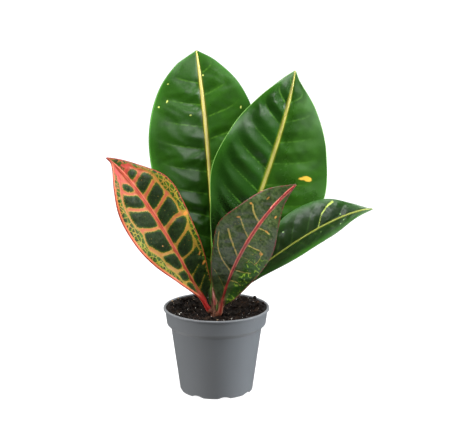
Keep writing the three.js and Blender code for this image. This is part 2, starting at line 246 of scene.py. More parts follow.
def round_angles(sides):
    return np.linspace(0, 2 * np.pi, sides, endpoint=False)


def value_along(values, t):
    """A smooth curve through values at the stations: a cubic between each two, sloped like its neighbours."""
    values = np.asarray(values, float)
    before = np.maximum(np.arange(len(values)) - 1, 0)
    after = np.minimum(np.arange(len(values)) + 1, len(values) - 1)
    slopes = (values[after] - values[before]) / (STATIONS[after] - STATIONS[before])
    i = np.clip(np.searchsorted(STATIONS, t, side="right") - 1, 0, len(values) - 2)
    span = STATIONS[i + 1] - STATIONS[i]
    s = (t - STATIONS[i]) / span
    return (
        values[i] * (1 + 2 * s) * (1 - s) ** 2
        + slopes[i] * span * s * (1 - s) ** 2
        + values[i + 1] * s * s * (3 - 2 * s)
        + slopes[i + 1] * span * s * s * (s - 1)
    )


def bezier(corners, t):
    a, b, c, d = np.asarray(corners, float)
    t = np.asarray(t, float)[..., None]
    return a * (1 - t) ** 3 + 3 * b * (1 - t) ** 2 * t + 3 * c * (1 - t) * t * t + d * t**3


def bezier_slope(corners, t):
    a, b, c, d = np.asarray(corners, float)
    t = np.asarray(t, float)[..., None]
    return 3 * ((b - a) * (1 - t) ** 2 + 2 * (c - b) * (1 - t) * t + (d - c) * t * t)


def softened(points):
    """The same line with its corners cut, twice over."""
    points = np.asarray(points, float)
    for _ in range(SOFTENING_ROUNDS):
        first, second = points[:-1], points[1:]
        cuts = np.stack([0.75 * first + 0.25 * second, 0.25 * first + 0.75 * second], 1).reshape(-1, 2)
        points = np.vstack([points[:1], cuts, points[-1:]])
    return points


# Meshes

def add_mesh(name, points, faces, smooth=True, sharp_angle=None):
    """A mesh object from points in millimetres."""
    mesh = bpy.data.meshes.new(name)
    mesh.from_pydata((np.asarray(points, float) * MM).tolist(), [], faces)
    mesh.validate()
    if smooth:
        mesh.shade_smooth()
    if sharp_angle is not None:
        mesh.set_sharp_from_angle(angle=math.radians(sharp_angle))
    made = bpy.data.objects.new(name, mesh)
    bpy.context.scene.collection.objects.link(made)
    return made


def set_attribute(piece, name, values):
    kind = "FLOAT_VECTOR" if np.ndim(values) == 2 else "FLOAT"
    attribute = piece.data.attributes.new(name, kind, "POINT")
    key = "vector" if kind == "FLOAT_VECTOR" else "value"
    attribute.data.foreach_set(key, np.asarray(values, np.float32).ravel())


def finish_piece(piece, material, slot, node=None):
    piece.data.materials.append(material)
    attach(piece, BODY)
    if node:
        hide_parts(node)


def ring_faces(rings, around):
    """Quads between rings of points, and the index of each quad's first point round its ring."""
    i, k = np.meshgrid(np.arange(rings - 1), np.arange(around), indexing="ij")
    i, k = i.ravel(), k.ravel()
    after = (k + 1) % around
    ring, next_ring = i * around, (i + 1) * around
    return np.stack([ring + k, ring + after, next_ring + after, next_ring + k], 1), k


# Leaves

COLUMN_CROWDING = 0.62  # how much closer the columns stand at the rib and at the margin
MARGIN_ROUNDING = 0.8  # how far in from the margin the blade starts to thin
LINE_FILLET = 0.5
FAR_AWAY = 1e3
NEARLY_NOTHING = 1e-40
NO_LOOP = -9.0  # well inside a loop
NO_BLOTCH = 9.0  # well outside a blotch
RELIEF = dict(
    middle=0.55, vein_depth=0.12, vein_width=0.6, ridge=0.4, ridge_width=0.75, gutter=0.06, gutter_place=1.5,
    gutter_width=0.7, full_ridge_width=6,
)
# Shares of the bake map's square, but for room and strip, which are millimetres beside the blade
BAKE_MAP = dict(room=1.5, length=0.98, widest=0.48, gap=0.005, strip=0.7, start=0.01, upper=0.25, under=0.75)
TERMINATOR_OFFSET = 0.6  # keeps small faces from shading themselves where light only grazes the blade


def rib_radius(t):
    neck = blend(BLADE["petiole_radius"], BLADE["neck_radius"], t / BLADE["neck_end"])
    beyond = (t - BLADE["neck_end"]) / (1 - BLADE["neck_end"])
    return np.where(t < BLADE["neck_end"], neck, blend(BLADE["neck_radius"], BLADE["tip_radius"], beyond))


def half_width(leaf, side, t):
    return np.maximum(value_along(leaf[side], t), rib_radius(t))


def vein_field(leaf, side, grid):
    """Distances in millimetres on one half of the blade: to the nearest vein's line, and to a vein's coloured
    edge. The coloured edges run into each other, and into the midrib's, in round corners."""
    fillet = leaf["fillet"]
    stations = grid.t[:, 0]
    line_sum = np.zeros_like(grid.x)
    edge_sum = np.exp(-(grid.x - value_along(leaf["rib_width"], stations)[:, None]) / fillet)
    loops = [leaf["loop_" + side]] if "loop_" + side in leaf else []
    for points, start_width, end_width in leaf["veins_" + side] + loops:
        line = softened(points)
        line_x = line[:, 1] * half_width(leaf, side, line[:, 0])
        line_y = np.interp(line[:, 0], stations, grid.lengths)
        nearest = np.full_like(grid.x, FAR_AWAY)
        width = np.zeros_like(grid.x)
        pieces = len(line) - 1
        for i in range(pieces):
            dx, dy = line_x[i + 1] - line_x[i], line_y[i + 1] - line_y[i]
            from_x, from_y = grid.x - line_x[i], grid.y - line_y[i]
            s = np.clip((from_x * dx + from_y * dy) / (dx * dx + dy * dy + 1e-9), 0, 1)
            distance = np.hypot(from_x - s * dx, from_y - s * dy)
            closer = distance < nearest
            nearest = np.where(closer, distance, nearest)
            width = np.where(closer, blend(start_width, end_width, (i + s) / pieces), width)
        line_sum += np.exp(-nearest / LINE_FILLET)
        if start_width or end_width:
            edge_sum += np.exp(-(nearest - width) / fillet)
    return -LINE_FILLET * np.log(line_sum + NEARLY_NOTHING), -fillet * np.log(edge_sum + NEARLY_NOTHING)


def beyond_loop(leaf, side, grid):
    """How far a place lies outside the vein that loops along the margin, in millimetres."""
    if "loop_" + side not in leaf:
        return np.full_like(grid.place, NO_LOOP)
    line = softened(leaf["loop_" + side][0])
    order = np.argsort(line[:, 0])
    return (grid.place - np.interp(grid.t[:, 0], line[order, 0], line[order, 1])[:, None]) * grid.width


def blotch_field(leaf, grid):
    """0 at the middle of the nearest blotch and 1 at its outline, on the whole blade."""
    nearest = np.full_like(grid.x, NO_BLOTCH)
    for place, share, length, width, turn in leaf["blotches"]:
        side = "left" if share < 0 else "right"
        centre_x = share * half_width(leaf, side, np.array(place))
        centre_y = np.interp(place, grid.t[:, 0], grid.lengths)
        angle = math.radians(turn)
        across, along = grid.signed_x - centre_x, grid.y - centre_y
        u = (across * math.cos(angle) + along * math.sin(angle)) / length
        v = (along * math.cos(angle) - across * math.sin(angle)) / width
        nearest = np.minimum(nearest, np.hypot(u, v))
    return nearest


def puckers(x, y):
    """Small uneven swellings of the blade, from -1 to 1."""
    broad = np.sin(0.26 * x + 1.6 * np.sin(0.23 * y)) * np.sin(0.4 * y + 1.6 * np.sin(0.15 * x + 0.7))
    fine = np.sin(1.1 * x + 1.5 * np.sin(0.7 * y + 2)) * np.sin(0.9 * y + 1.3 * np.sin(0.8 * x))
    return 0.85 * broad + 0.15 * fine


def blade_grid(leaf):
    """The blade's middle skin, row by row from the stem to the tip and column by column over both halves."""
    grid = SimpleNamespace()
    even = np.linspace(0, 1, leaf["rows"] + 1)
    grid.t = blend(even, (1 - np.cos(np.pi * even)) / 2, 0.5)[:, None]
    u = np.linspace(-1, 1, 2 * leaf["columns"] + 1)[None, :]
    centre = bezier(leaf["rib"], grid.t)
    along = unit(bezier_slope(leaf["rib"], grid.t))
    facing = blend(*np.array(leaf["face"], float), grid.t[..., None])
    across = unit(np.cross(along, facing))
    upwards = np.cross(across, along)
    grid.lengths = np.concatenate([[0], np.cumsum(np.linalg.norm(np.diff(centre[:, 0], axis=0), axis=1))])

    grid.radius = rib_radius(grid.t)
    grid.flatness = step_up(BLADE["neck_start"], BLADE["neck_end"], grid.t)
    grid.side = np.sign(u)
    grid.on_left = u < 0
    grid.width = np.where(grid.on_left, half_width(leaf, "left", grid.t), half_width(leaf, "right", grid.t))
    folds = [np.radians(blend(*leaf[key], grid.t)) for key in ("fold_left", "fold_right")]
    fold = grid.flatness * np.where(grid.on_left, *folds)
    bow = np.radians(blend(*leaf["bow"], grid.t))
    grid.turn = np.abs(u) * np.pi / 2
    spread = np.abs(u) - COLUMN_CROWDING * np.sin(2 * np.pi * np.abs(u)) / (2 * np.pi)
    grid.place = blend(grid.radius / grid.width * np.sin(grid.turn), spread, grid.flatness)
    slope = fold + bow * grid.place
    outwards = grid.width * (np.sin(slope) - np.sin(fold)) / bow
    rise = grid.width * (np.cos(fold) - np.cos(slope)) / bow
    height, count, phase = leaf["wave"]
    shift = np.where(grid.on_left, BLADE["left_wave_shift"], 0)
    wave = height * np.sin(2 * np.pi * (count * grid.t + phase + shift))
    wave_share = grid.flatness * grid.place**3 * np.minimum(1, grid.width / BLADE["full_wave_width"])
    lift = rise + wave * wave_share
    grid.point = centre + across * (grid.side * outwards)[..., None] + upwards * lift[..., None]
    grid.normal = upwards * np.cos(slope)[..., None] - across * (grid.side * np.sin(slope))[..., None]

    grid.x = grid.place * grid.width
    grid.signed_x = grid.x * grid.side
    grid.y = np.broadcast_to(grid.lengths[:, None], grid.x.shape)
    return grid


def by_side(grid, measure, leaf):
    """A measure of the left half and of the right half, joined into one for the whole blade."""
    return np.where(grid.on_left, measure(leaf, "left", grid), measure(leaf, "right", grid))


def blade_relief(leaf, grid, vein_line, rib_share):
    """The blade swells between its sunken side veins, and the midrib stands up in its own groove."""
    bulge = 1 - np.exp(-((vein_line / leaf["quilt_reach"]) ** 2))
    calm = step_up(0, 0.14, grid.place) * step_up(0, 0.4, 1 - grid.place) * step_up(0, 12, grid.width)
    calm = calm * (1 + 0.35 * np.sin(0.13 * grid.y + 2.1 * grid.side)) * step_up(-0.03, 0.22, 1 - grid.t)
    quilt = np.where(grid.on_left, *leaf["quilt"]) * (1 - leaf["quilt_fade"] * step_up(11, 26, grid.x))
    sunken = RELIEF["vein_depth"] * np.exp(-((vein_line / RELIEF["vein_width"]) ** 2))
    relief = quilt * (bulge - RELIEF["middle"]) * calm - sunken * calm
    relief = relief + leaf["pucker"] * puckers(grid.signed_x + leaf["rows"], grid.y) * calm
    ridge = RELIEF["ridge"] * np.exp(-((rib_share / RELIEF["ridge_width"]) ** 4))
    beside = (rib_share - RELIEF["gutter_place"]) / RELIEF["gutter_width"]
    ridge = ridge - RELIEF["gutter"] * np.exp(-(beside**2))
    return relief + ridge * np.minimum(1, grid.width / RELIEF["full_ridge_width"])


def leaf_shape(leaf):
    """Points and quads of a leaf's skin, with its surface measures."""
    grid = blade_grid(leaf)
    vein_line, vein_edge = by_side(grid, vein_field, leaf)
    rib_share = grid.x / value_along(leaf["rib_width"], grid.t)
    margin = (1 - grid.place) * grid.width
    relief = blade_relief(leaf, grid, vein_line, rib_share)
    round_depth = np.maximum(grid.radius * np.cos(grid.turn), 0.75 * BLADE["half_thickness"])
    edge_share = np.clip(margin / MARGIN_ROUNDING, 0, 1)
    half = BLADE["half_thickness"] * np.sqrt(1 - 0.85 * (1 - edge_share) ** 2)
    keel = grid.radius * np.cos(np.pi / 2 * np.clip(grid.x / (1.5 * grid.radius), 0, 1)) ** 2
    upper = grid.point + grid.normal * blend(round_depth, half + relief, grid.flatness)[..., None]
    lower = grid.point - grid.normal * blend(round_depth, half + keel - relief, grid.flatness)[..., None]

    rings = np.concatenate([upper, lower[:, ::-1]], 1)
    around = rings.shape[1]
    quads, first = ring_faces(leaf["rows"] + 1, around)

    def round_ring(values):
        values = np.broadcast_to(values, grid.x.shape)
        return np.concatenate([values, values[:, ::-1]], 1).ravel()

    on_blade = dict(
        rib=rib_share, vein=vein_edge, outer=by_side(grid, beyond_loop, leaf), line=vein_line, edge=margin,
        along=grid.t, across=grid.place * grid.side, blotch=blotch_field(leaf, grid),
    )
    measures = {name: round_ring(values) for name, values in on_blade.items()}
    measures["under"] = np.concatenate([np.zeros_like(grid.x), np.ones_like(grid.x)], 1).ravel()
    flat = [round_ring(grid.signed_x), round_ring(grid.y), np.zeros(rings[..., 0].size)]
    measures["flat"] = np.stack(flat, 1)
    return rings.reshape(-1, 3), quads, first, around, measures


def lay_out(piece, quads, first, around, measures):
    """Sets the leaf's bake map: its upper side in the lower part of the square, its underside above it."""
    x, y = measures["flat"][:, 0], measures["flat"][:, 1]
    columns = (around - 2) // 4
    reach = np.abs(x).max() + BAKE_MAP["room"]
    scale = BAKE_MAP["length"] / y.max()
    band = min(BAKE_MAP["widest"], reach * scale) - BAKE_MAP["gap"]
    strip = (first == 2 * columns) | (first == around - 1)
    below = (first > 2 * columns) & ~strip
    corner_x = x[quads]
    outside = strip[:, None] & (measures["under"][quads] > 0.5)
    corner_x = np.where(outside, corner_x + BAKE_MAP["strip"] * np.sign(corner_x), corner_x)
    middle = np.where(below, BAKE_MAP["under"], BAKE_MAP["upper"])[:, None]
    across = corner_x / reach * band / 2 + middle
    along = BAKE_MAP["start"] + y[quads] * scale
    layer = piece.data.uv_layers.new(name="OFBake")
    layer.data.foreach_set("uv", np.stack([along, across], -1).astype(np.float32).ravel())


def build_leaf(node, leaf):
    points, quads, first, around, measures = leaf_shape(leaf)
    piece = add_mesh(node.replace("leaf_", "") + "_leaf", points, quads.tolist())
    for name, values in measures.items():
        set_attribute(piece, name, values)
    lay_out(piece, quads, first, around, measures)
    piece.shadow_terminator_geometry_offset = TERMINATOR_OFFSET
    piece.shadow_terminator_shading_offset = TERMINATOR_OFFSET / 4
    finish_piece(piece, leaf_material(node, {**PLAIN_LOOK, **LOOKS[node]}), node, node)


# Materials

def srgb(*levels):
    """A colour as seen on a screen, 0 to 255, as the linear light that the shaders take."""
    shares = [level / 255 for level in levels]
    linear = [c / 12.92 if c <= 0.04045 else ((c + 0.055) / 1.055) ** 2.4 for c in shares]
    return (*linear, 1)


class Graph:
    """A material's node tree, with one short method for each kind of node that is used here."""

    def __init__(self, name, **finish):
        self.material = bpy.data.materials.new(name)
        self.material.use_nodes = True
        self.tree = self.material.node_tree
        self.shader = self.tree.nodes["Principled BSDF"]
        for socket, value in finish.items():
            self.shader.inputs[socket.replace("_", " ")].default_value = value

    def node(self, kind, inputs, **settings):
        made = self.tree.nodes.new(kind)
        for key, value in settings.items():
            setattr(made, key, value)
        for key, value in inputs.items():
            if isinstance(value, bpy.types.NodeSocket):
                self.tree.links.new(value, made.inputs[key])
            else:
                made.inputs[key].default_value = value
        return made

    def measure(self, name):
        return self.node("ShaderNodeAttribute", {}, attribute_name=name).outputs["Fac"]

    def place(self, name):
        return self.node("ShaderNodeAttribute", {}, attribute_name=name).outputs["Vector"]

    def object_place(self):
        return self.node("ShaderNodeTexCoord", {}).outputs["Object"]

    def maths(self, operation, first, second=0.0):
        return self.node("ShaderNodeMath", {0: first, 1: second}, operation=operation).outputs[0]

    def joined(self, operation, values):
        result = values[0]
        for value in values[1:]:
            result = self.maths(operation, result, value)
        return result

    def times(self, *values):
        return self.joined("MULTIPLY", values)

    def plus(self, *values):
        return self.joined("ADD", values)

    def part(self, vector, axis):
        return self.node("ShaderNodeSeparateXYZ", {0: vector}).outputs[axis]

    def rise(self, value, low, high):
        """0 below low and 1 above high, or 1 below and 0 above where high is the smaller."""
        inputs = {"Value": value, "From Min": low, "From Max": high}
        return self.node("ShaderNodeMapRange", inputs, interpolation_type="SMOOTHSTEP").outputs["Result"]

    def noise(self, vector, scale, detail=2.0):
        inputs = {"Vector": vector, "Scale": scale, "Detail": detail}
        return self.node("ShaderNodeTexNoise", inputs).outputs["Fac"]

    def stretched(self, vector, factors):
        return self.node("ShaderNodeVectorMath", {0: vector, 1: factors}, operation="MULTIPLY").outputs[0]

    def cell_edges(self, vector, scale):
        inputs = {"Vector": vector, "Scale": scale}
        return self.node("ShaderNodeTexVoronoi", inputs, feature="DISTANCE_TO_EDGE").outputs["Distance"]

    def mix(self, share, first, second):
        return self.node("ShaderNodeMix", {0: share, 6: first, 7: second}, data_type="RGBA").outputs[2]

    def paint(self, share, colour):
        """Lays another colour over the one so far."""
        self.colour = self.mix(share, self.colour, colour)

    def bump(self, height, distance, normal=None):
        inputs = {"Height": height, "Distance": distance, "Strength": 1.0}
        if normal is not None:
            inputs["Normal"] = normal
        return self.node("ShaderNodeBump", inputs).outputs["Normal"]

    def set(self, socket, value):
        self.tree.links.new(value, self.shader.inputs[socket])


# Looks of the leaves, where a colour is three levels as seen on a screen, 0 to 255.
# blade and shade = the two greens, dark_left = how far painted shade covers the left half, mottle = patches
# of shade.
# light_margin = the green towards the margin, margin_gaps = how far gaps break the coloured margin.
# line = the side veins without a colour, leather = the height of broad unevenness in millimetres.
# rib, rib_side and rib_low = the midrib's middle, its sides and its foot, rib_shadow = the painted shadow
# beside it.
# band = the coloured veins, band_tip and band_edge = what they turn to at the tip and near the margin.
# fringe = how far band_edge rims the coloured veins and net, teeth = how ragged the veins' edges are.
# net_cell and low_strand = the net's cells and lower strands, low_net = how far a net covers the lower right.
# lining = the strip inside the margin at the left, foot_margin = how far a coloured rim follows the foot.
PLAIN_LOOK = dict(
    band=(200, 190, 90), band_tip=(200, 190, 90), band_edge=(200, 190, 90), low_strand=(150, 190, 70),
    fringe=0.0, mottle=0.0, teeth=0.5, margin_gaps=0.0, low_net=0.0, foot_margin=0.0, dull_tip=0.0,
)
LOOKS = {
    "leaf_rear_left": dict(
        blade=(41, 86, 13), shade=(22, 55, 8), dark_left=0.25, light_margin=(50, 102, 26),
        line=(88, 138, 42), line_share=0.45, gloss=0.5, rough=0.25, leather=0.04,
        rib=(212, 196, 126), rib_side=(190, 182, 80), rib_low=(84, 128, 40), rib_low_end=0.42,
        rib_shadow=(96, 92, 18), rib_shade=0.7, blotch=(206, 216, 112), net_cell=(62, 124, 30),
        margin=(50, 104, 30), margin_width=0.4, lining=(84, 142, 56), lining_width=0.8, petiole=(70, 84, 34),
    ),
    "leaf_rear_right": dict(
        blade=(46, 90, 18), shade=(18, 48, 10), dark_left=0.8, light_margin=(42, 86, 20),
        line=(78, 124, 42), line_share=0.5, gloss=0.5, rough=0.2, dull_tip=0.26, leather=0.04,
        rib=(170, 160, 90), rib_side=(160, 156, 72), rib_low=(150, 150, 60), rib_low_end=0.2,
        rib_shadow=(110, 120, 20), rib_shade=0.7, blotch=(238, 190, 70), net_cell=(54, 112, 28),
        # Its pale margin line is a painted highlight along the edge.
        margin=(104, 146, 66), margin_width=0.4, lining=(50, 104, 30), lining_width=0.3, petiole=(56, 68, 34),
    ),
    "leaf_front_left": dict(
        blade=(30, 46, 20), shade=(14, 24, 13), dark_left=0.3, light_margin=(44, 66, 20), mottle=0.6,
        line=(110, 120, 60), line_share=0.0, gloss=0.3, rough=0.3, leather=0.3, fringe=0.8, teeth=1.2,
        rib=(152, 58, 42), rib_side=(162, 80, 52), rib_low=(150, 72, 40), rib_low_end=0.24,
        rib_shadow=(60, 60, 30), rib_shade=0.0, blotch=(190, 118, 48), net_cell=(54, 84, 16),
        band=(158, 80, 52), band_tip=(160, 52, 48), band_edge=(144, 118, 40), low_strand=(122, 130, 32),
        margin=(132, 26, 30), margin_width=0.9, margin_gaps=0.3, lining=(188, 98, 64), lining_width=1.4,
        petiole=(156, 38, 34),
    ),
    "leaf_front_right": dict(
        # Its greens are partly its own colour and partly painted sheen, lifted towards grey.
        blade=(80, 96, 56), shade=(44, 64, 30), dark_left=0.2, light_margin=(70, 88, 48), mottle=0.9,
        line=(84, 98, 48), line_share=0.4, gloss=1.0, rough=0.25, leather=0.6, fringe=0.5, teeth=0.4,
        rib=(160, 50, 44), rib_side=(196, 102, 92), rib_low=(150, 50, 44), rib_low_end=0.3,
        rib_shadow=(70, 80, 50), rib_shade=0.4, blotch=(190, 136, 66), net_cell=(36, 84, 16), low_net=1.0,
        band=(176, 164, 92), band_tip=(190, 130, 112), band_edge=(186, 158, 80), low_strand=(150, 186, 58),
        margin=(112, 28, 36), margin_width=0.8, margin_gaps=0.8, lining=(62, 84, 44), lining_width=0.3,
        petiole=(112, 70, 54), foot_margin=0.85,
    ),
    "leaf_right": dict(
        blade=(27, 54, 15), shade=(16, 42, 12), dark_left=0.4, light_margin=(40, 86, 20),
        line=(66, 104, 40), line_share=0.35, gloss=0.7, rough=0.26, leather=0.06,
        rib=(172, 178, 84), rib_side=(140, 150, 50), rib_low=(150, 160, 80), rib_low_end=0.3,
        rib_shadow=(84, 94, 12), rib_shade=0.6, blotch=(150, 196, 110), net_cell=(40, 92, 24),
        band=(186, 206, 92), band_tip=(186, 206, 92), band_edge=(196, 214, 110),
        margin=(52, 92, 34), margin_width=0.4, lining=(40, 92, 24), lining_width=0.3, petiole=(70, 82, 40),
    ),
}
# Painted shade at a leaf's foot, where the other leaves shade it
PAINTED_FOOT_SHADE = srgb(7, 22, 5)
FOOT_RIM = srgb(150, 96, 78)
UNDERSIDE = srgb(132, 150, 96)
MARGIN_BLUR = 0.3  # millimetres
FINE_RELIEF = 0.000006  # metres
SKIN_MEASURES = ("rib", "vein", "line", "edge", "outer", "along", "across", "blotch", "under")


def leaf_measures(g):
    """What a leaf's pattern is drawn from: the measures on its skin, and noises that several steps share."""
    m = SimpleNamespace(**{name: g.measure(name) for name in SKIN_MEASURES})
    m.flat = g.place("flat")
    m.patchy = g.noise(m.flat, 0.26)
    m.grain = g.noise(m.flat, 0.7)
    m.net = g.cell_edges(m.flat, 0.42)
    m.ragged = g.times(g.maths("SUBTRACT", g.noise(m.flat, 0.35, 3.0), 0.5), 1.6)
    m.toothed = g.times(g.maths("SUBTRACT", g.noise(m.flat, 0.9), 0.5), 1.8)
    return m


def leaf_greens(g, m, look):
    """The two greens, with painted shade over the left half and at its foot, and the faint side veins and net
    on them.
    """
    # Painted shade: the left half is laid in the darker green, as the half turned away from the light
    painted_shade = g.times(g.rise(m.across, 0.05, -0.1), look.dark_left)
    patches = g.times(g.rise(g.noise(m.flat, 0.05, 3.0), 0.4, 0.62), 0.5)
    g.colour = g.mix(g.maths("MAXIMUM", painted_shade, patches), look.blade, look.shade)
    g.paint(g.rise(m.edge, 9.0, 0.0), look.light_margin)
    mottled = g.times(g.rise(g.noise(m.flat, 0.42, 3.0), 0.47, 0.6), look.mottle)
    g.paint(mottled, look.shade)
    # Painted shade, darker still towards the stem on the shaded half
    g.paint(g.times(g.rise(m.along, 0.58, 0.3), painted_shade), PAINTED_FOOT_SHADE)
    g.paint(g.times(g.rise(m.net, 0.12, 0.0), 0.04), look.line)
    seen = g.plus(0.35, g.times(g.rise(m.patchy, 0.45, 0.55), 0.65))
    seen = g.times(seen, g.rise(g.maths("ABSOLUTE", m.across), 0.85, 0.4))
    thin = g.times(g.rise(m.line, 1.0, 0.45), look.line_share, seen)
    g.paint(thin, look.line)


def band_colour(g, m, look):
    """The colour of the coloured veins, which turns with the place on the leaf."""
    outward = g.times(g.rise(m.edge, 9.0, 3.0), g.plus(g.times(g.rise(m.along, 0.7, 0.45), 0.7), 0.3))
    band = g.mix(outward, look.band, look.band_edge)
    band = g.mix(g.times(g.rise(m.along, 0.62, 0.36), 0.6), band, look.band_edge)
    band = g.mix(g.times(g.rise(m.vein, -1.1, -0.3), look.fringe), band, look.band_edge)
    band = g.mix(g.rise(m.along, 0.72, 0.93), band, look.band_tip)
    return g.mix(g.times(g.rise(g.noise(m.flat, 0.8), 0.62, 0.72), 0.35), band, look.margin)


def leaf_net(g, m, look, band):
    """The coloured net at the lower right, and outside the veins that loop along the margin."""
    mesh = g.plus(g.cell_edges(g.stretched(m.flat, (1.0, 0.7, 1.0)), 0.3), g.times(m.ragged, 0.16))
    low_right = g.times(g.rise(m.across, 0.25, 0.45), g.rise(m.along, 0.55, 0.4), look.low_net)
    g.paint(g.times(low_right, 0.7), look.net_cell)
    low_strand = g.times(low_right, g.rise(m.patchy, 0.5, 0.58), g.rise(mesh, 0.12, 0.04))
    g.paint(low_strand, look.low_strand)
    speck = g.times(g.rise(g.noise(m.flat, 0.75, 1.0), 0.7, 0.76), look.fringe)
    g.paint(speck, look.band_edge)
    filled = g.rise(g.plus(m.patchy, g.times(m.along, 0.22)), 0.8, 0.86)
    filled = g.maths("MAXIMUM", filled, g.rise(m.along, 0.95, 0.99))
    strand = g.maths("MAXIMUM", g.rise(mesh, 0.1, 0.03), filled)
    strand_colour = g.mix(g.times(g.rise(m.along, 0.68, 0.5), look.fringe), band, look.low_strand)
    cell_colour = g.mix(g.rise(m.patchy, 0.45, 0.55), look.net_cell, look.blade)
    net = g.mix(strand, cell_colour, strand_colour)
    strand_rim = g.rise(g.maths("ABSOLUTE", g.maths("SUBTRACT", strand, 0.5)), 0.5, 0.2)
    net = g.mix(g.times(strand_rim, look.fringe), net, look.band_edge)
    g.paint(g.rise(m.outer, -0.3, 0.3), net)


def leaf_veins(g, m, look, band):
    """The coloured veins with their green rim, and the blotches."""
    vein_edge = g.plus(m.vein, g.plus(g.times(m.ragged, 0.5), g.times(m.toothed, look.teeth)))
    green_rim = g.times(g.rise(vein_edge, 1.7, 0.4), look.fringe, 0.6)
    g.paint(green_rim, look.net_cell)
    g.paint(g.rise(vein_edge, 0.3, -0.3), band)
    spot = g.rise(g.plus(m.blotch, g.times(m.ragged, 0.35)), 1.15, 0.75)
    g.paint(spot, look.blotch)


def leaf_rib(g, m, look):
    """The midrib, with a painted shadow line beside it."""
    # Painted shadow along both sides of the midrib
    g.paint(g.times(g.rise(m.rib, 2.2, 1.0), look.rib_shade), look.rib_shadow)
    rib_colour = g.mix(g.rise(m.rib, 0.35, 0.75), look.rib, look.rib_side)
    rib_colour = g.mix(g.rise(m.along, look.rib_low_end, look.rib_low_end - 0.08), rib_colour, look.rib_low)
    g.paint(g.rise(g.plus(m.rib, g.times(m.ragged, 0.1)), 1.12, 0.88), rib_colour)


def leaf_margin(g, m, look):
    """The margin, which can have gaps, with the lining inside it on the left half."""
    uneven_edge = g.plus(m.edge, g.times(m.ragged, 0.3))
    inner_width = look.margin_width + look.lining_width
    lining = g.rise(uneven_edge, inner_width + MARGIN_BLUR, inner_width - MARGIN_BLUR)
    g.paint(g.times(lining, g.rise(m.across, 0.1, -0.1)), look.lining)
    rim = g.rise(uneven_edge, look.margin_width + MARGIN_BLUR, look.margin_width - MARGIN_BLUR)
    gaps = g.times(g.rise(m.patchy, 0.44, 0.56), look.margin_gaps)
    rim = g.times(rim, g.maths("SUBTRACT", 1.0, gaps), g.rise(m.along, 0.06, 0.12))
    g.paint(rim, look.margin)


def leaf_foot(g, m, look):
    """The petiole, and the coloured rim that follows the blade's foot at the right."""
    from_rib = g.maths("ABSOLUTE", g.part(m.flat, "X"))
    on_rib = g.times(g.rise(m.rib, 1.15, 0.85), look.foot_margin)
    stalk = g.times(g.rise(m.along, 0.16, 0.08), g.rise(from_rib, 2.9, 2.2), g.maths("SUBTRACT", 1.0, on_rib))
    foot_rim = g.times(g.rise(m.edge, 1.5, 0.9), g.rise(m.along, 0.42, 0.3))
    foot_rim = g.times(foot_rim, g.times(g.rise(m.across, 0.1, 0.3), look.foot_margin))
    g.paint(foot_rim, FOOT_RIM)
    g.paint(stalk, look.petiole)


def leaf_finish(g, m, look):
    """The paler underside, how rough the leaf is, and its fine relief."""
    tone = g.plus(g.times(m.grain, 0.12), 0.94)
    colour = g.node("ShaderNodeVectorMath", {0: g.colour, 3: tone}, operation="SCALE").outputs[0]
    g.set("Base Color", g.mix(g.times(m.under, 0.45), colour, UNDERSIDE))
    dull = g.times(g.rise(m.along, 0.5, 0.8), g.rise(m.across, 0.1, 0.6), look.dull_tip)
    g.set("Roughness", g.plus(look.rough, g.times(m.patchy, 0.1), dull, g.times(m.under, 0.15)))
    fine = g.plus(g.times(g.rise(m.net, 0.0, 0.2), 0.6), g.times(m.grain, 0.5))
    leather = g.noise(g.stretched(m.flat, (1.0, 1.4, 1.0)), 0.26)
    g.set("Normal", g.bump(fine, FINE_RELIEF, g.bump(leather, look.leather * MM)))


def leaf_material(name, look):
    g = Graph(name, Specular_IOR_Level=look["gloss"])
    look = {key: srgb(*value) if isinstance(value, tuple) else value for key, value in look.items()}
    look = SimpleNamespace(**look)
    m = leaf_measures(g)
    band = band_colour(g, m, look)
    leaf_greens(g, m, look)
    leaf_net(g, m, look, band)
    leaf_veins(g, m, look, band)
    leaf_rib(g, m, look)
    leaf_margin(g, m, look)
    leaf_foot(g, m, look)
    leaf_finish(g, m, look)
    return g.material


for node, leaf in LEAVES.items():
    build_leaf(node, leaf)


# Turned forms

def rounded(corners, steps=5):
    """An outline through corners (radius, height, rounding), each of them turned into a short curve."""
    points = []
    for i, (radius, height, rounding) in enumerate(corners):
        corner = np.array([radius, height], float)
        if not rounding:
            points.append(corner)
            continue
        before = unit(np.subtract(corners[i - 1][:2], corner))
        after = unit(np.subtract(corners[i + 1][:2], corner))
        for s in np.linspace(0, 1, steps + 1):
            points.append(corner + before * rounding * (1 - s) ** 2 + after * rounding * s**2)
    return np.array(points)


def divided(outline, step, hold=0.3):
    """The outline with long stretches divided, and a point just inside each end that keeps them flat."""
    points = [outline[0]]
    for first, second in zip(outline[:-1], outline[1:]):
        length = np.linalg.norm(second - first)
        if length > 3 * hold:
            inner = np.linspace(hold / length, 1 - hold / length, max(2, round(length / step)))
            points.extend(blend(first, second, s) for s in inner)
        points.append(second)
    return np.array(points)


def turned(outline, sides):
    """Points and faces of a skin turned round the Z axis, closed where its outline meets the axis."""
    rings = outline[1:-1]
    angles = round_angles(sides)
    x = rings[:, :1] * np.sin(angles)
    y = -rings[:, :1] * np.cos(angles)
    z = np.broadcast_to(rings[:, 1:], x.shape)
    points = np.stack([x, y, z], -1).reshape(-1, 3)
    quads, _ = ring_faces(len(rings), sides)
    count = len(points)
    points = np.vstack([points, [[0, 0, outline[0][1]], [0, 0, outline[-1][1]]]])
    faces = quads.tolist()
    last = (len(rings) - 1) * sides
    for k in range(sides):
        after = (k + 1) % sides
        faces.append([count, after, k])
        faces.append([count + 1, last + k, last + after])
    return points, faces


# Pot

POT_SIDES = 360


